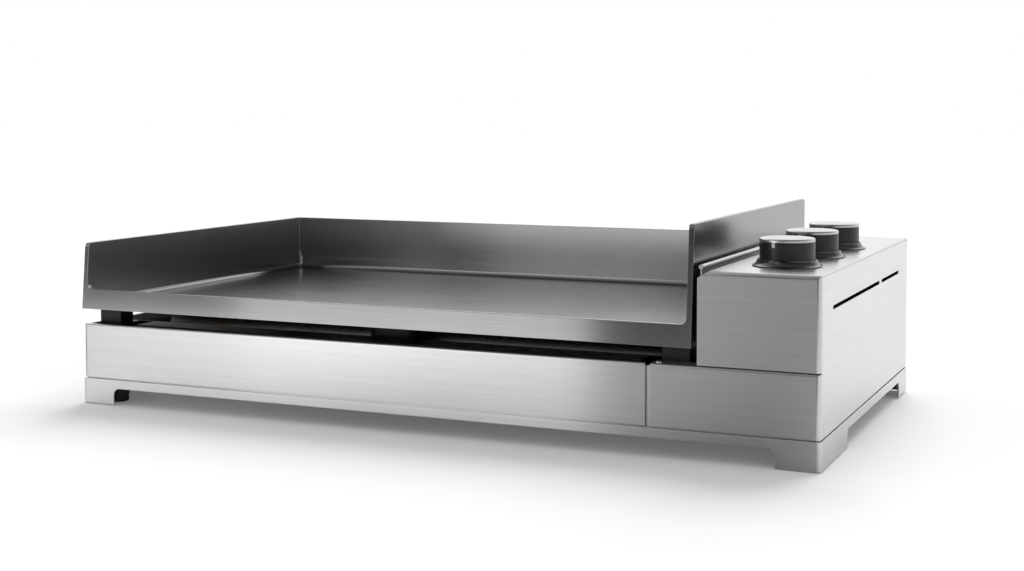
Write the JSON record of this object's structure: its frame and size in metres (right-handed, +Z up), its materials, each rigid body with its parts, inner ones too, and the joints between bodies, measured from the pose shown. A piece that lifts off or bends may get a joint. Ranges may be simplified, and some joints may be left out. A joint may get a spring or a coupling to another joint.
{
  "type": "countertop gas griddle",
  "caption": "Stainless gas griddle for a counter: lift-off steel plate with splash walls on a low legged chassis, front grease drawer, raised control box with push-and-turn knobs.",
  "frame": {"origin": "bounding box bottom centre, on the surface the feet stand on", "axes": "+X to the right along the longest side, +Y from the front to the back, +Z up"},
  "size_m": [0.9, 0.5048, 0.24],
  "materials": {
    "brushed_stainless": "brushed stainless steel",
    "mill_steel": "plain rolled steel sheet and tube, heat dulled",
    "screw_steel": "turned and plated steel",
    "spring_steel": "drawn spring steel",
    "plate_steel": "fine brushed thick steel, darker than the chassis",
    "foot_rubber": "moulded black rubber",
    "brass": "machined brass",
    "copper_lead": "drawn copper",
    "feed_aluminium": "drawn aluminium tube",
    "cast_aluminium": "die-cast aluminium",
    "knob_black": "satin black plastic",
    "knob_metal": "satin plated metal",
    "pointer_white": "light grey plastic",
    "dark_chrome": "dark polished plating",
    "ceramic": "white glazed ceramic",
    "silicone": "red silicone sleeve"
  },
  "bodies": {
    "chassis": {"base_frame": "brushed_stainless", "rubber_feet": "foot_rubber", "foot_screws": "screw_steel", "left_panel": "brushed_stainless", "right_panel": "brushed_stainless", "rear_panel": "brushed_stainless", "lower_front_panel": "brushed_stainless", "control_cover": "brushed_stainless", "burner_wall": "mill_steel", "heat_shield": "brushed_stainless", "shield_spacers": "mill_steel", "front_rail": "mill_steel", "rear_rail": "mill_steel", "plate_supports": "mill_steel", "runner_wall": "mill_steel", "drawer_runners": "mill_steel", "heat_baffle": "mill_steel", "corner_brackets": "mill_steel", "panel_screws": "screw_steel", "burner_front": "mill_steel", "burner_middle": "mill_steel", "burner_rear": "mill_steel", "burner_rests": "mill_steel", "gas_inlet": "brass", "gas_rail": "mill_steel", "rail_brackets": "mill_steel", "feed_tubes": "feed_aluminium", "injectors": "brass", "electrodes": "ceramic", "thermocouples": "brass", "ignition_leads": "silicone", "thermocouple_leads": "copper_lead", "valve_front": "cast_aluminium", "valve_middle": "cast_aluminium", "valve_rear": "cast_aluminium", "knob_bezels": "dark_chrome"},
    "griddle": {"griddle_plate": "plate_steel", "plate_studs": "mill_steel", "grease_chute": "mill_steel"},
    "drawer": {"drawer_front": "brushed_stainless", "grease_tray": "brushed_stainless"},
    "plug_front": {"valve_plug_front": "brass", "valve_spring_front": "spring_steel"},
    "control_front": {"valve_stem_front": "screw_steel", "knob_front": "knob_black", "knob_cap_front": "knob_metal", "pointer_front": "pointer_white"},
    "plug_middle": {"valve_plug_middle": "brass", "valve_spring_middle": "spring_steel"},
    "control_middle": {"valve_stem_middle": "screw_steel", "knob_middle": "knob_black", "knob_cap_middle": "knob_metal", "pointer_middle": "pointer_white"},
    "plug_rear": {"valve_plug_rear": "brass", "valve_spring_rear": "spring_steel"},
    "control_rear": {"valve_stem_rear": "screw_steel", "knob_rear": "knob_black", "knob_cap_rear": "knob_metal", "pointer_rear": "pointer_white"}
  },
  "joints": [
    {"name": "drawer_slide", "type": "slide", "parent": "chassis", "child": "drawer", "axis": [0, -1, 0], "range_m": [0, 0.35]},
    {"name": "plate_lift", "type": "slide", "parent": "chassis", "child": "griddle", "axis": [0, 0, 1], "range_m": [0, 0.15]},
    {"name": "knob_turn_front", "type": "hinge", "parent": "chassis", "child": "plug_front", "pos_m": [0.395, -0.1714, 0.141], "axis": [0, 0, 1], "range_deg": [0, 210]},
    {"name": "knob_push_front", "type": "slide", "parent": "plug_front", "child": "control_front", "axis": [0, 0, -1], "range_m": [0, 0.003], "stiffness_N_per_m": 1500, "springref_m": -0.002, "deforming": ["valve_spring_front"]},
    {"name": "knob_turn_middle", "type": "hinge", "parent": "chassis", "child": "plug_middle", "pos_m": [0.395, -0.0594, 0.141], "axis": [0, 0, 1], "range_deg": [0, 210]},
    {"name": "knob_push_middle", "type": "slide", "parent": "plug_middle", "child": "control_middle", "axis": [0, 0, -1], "range_m": [0, 0.003], "stiffness_N_per_m": 1500, "springref_m": -0.002, "deforming": ["valve_spring_middle"]},
    {"name": "knob_turn_rear", "type": "hinge", "parent": "chassis", "child": "plug_rear", "pos_m": [0.395, 0.0526, 0.141], "axis": [0, 0, 1], "range_deg": [0, 210]},
    {"name": "knob_push_rear", "type": "slide", "parent": "plug_rear", "child": "control_rear", "axis": [0, 0, -1], "range_m": [0, 0.003], "stiffness_N_per_m": 1500, "springref_m": -0.002, "deforming": ["valve_spring_rear"]}
  ]
}
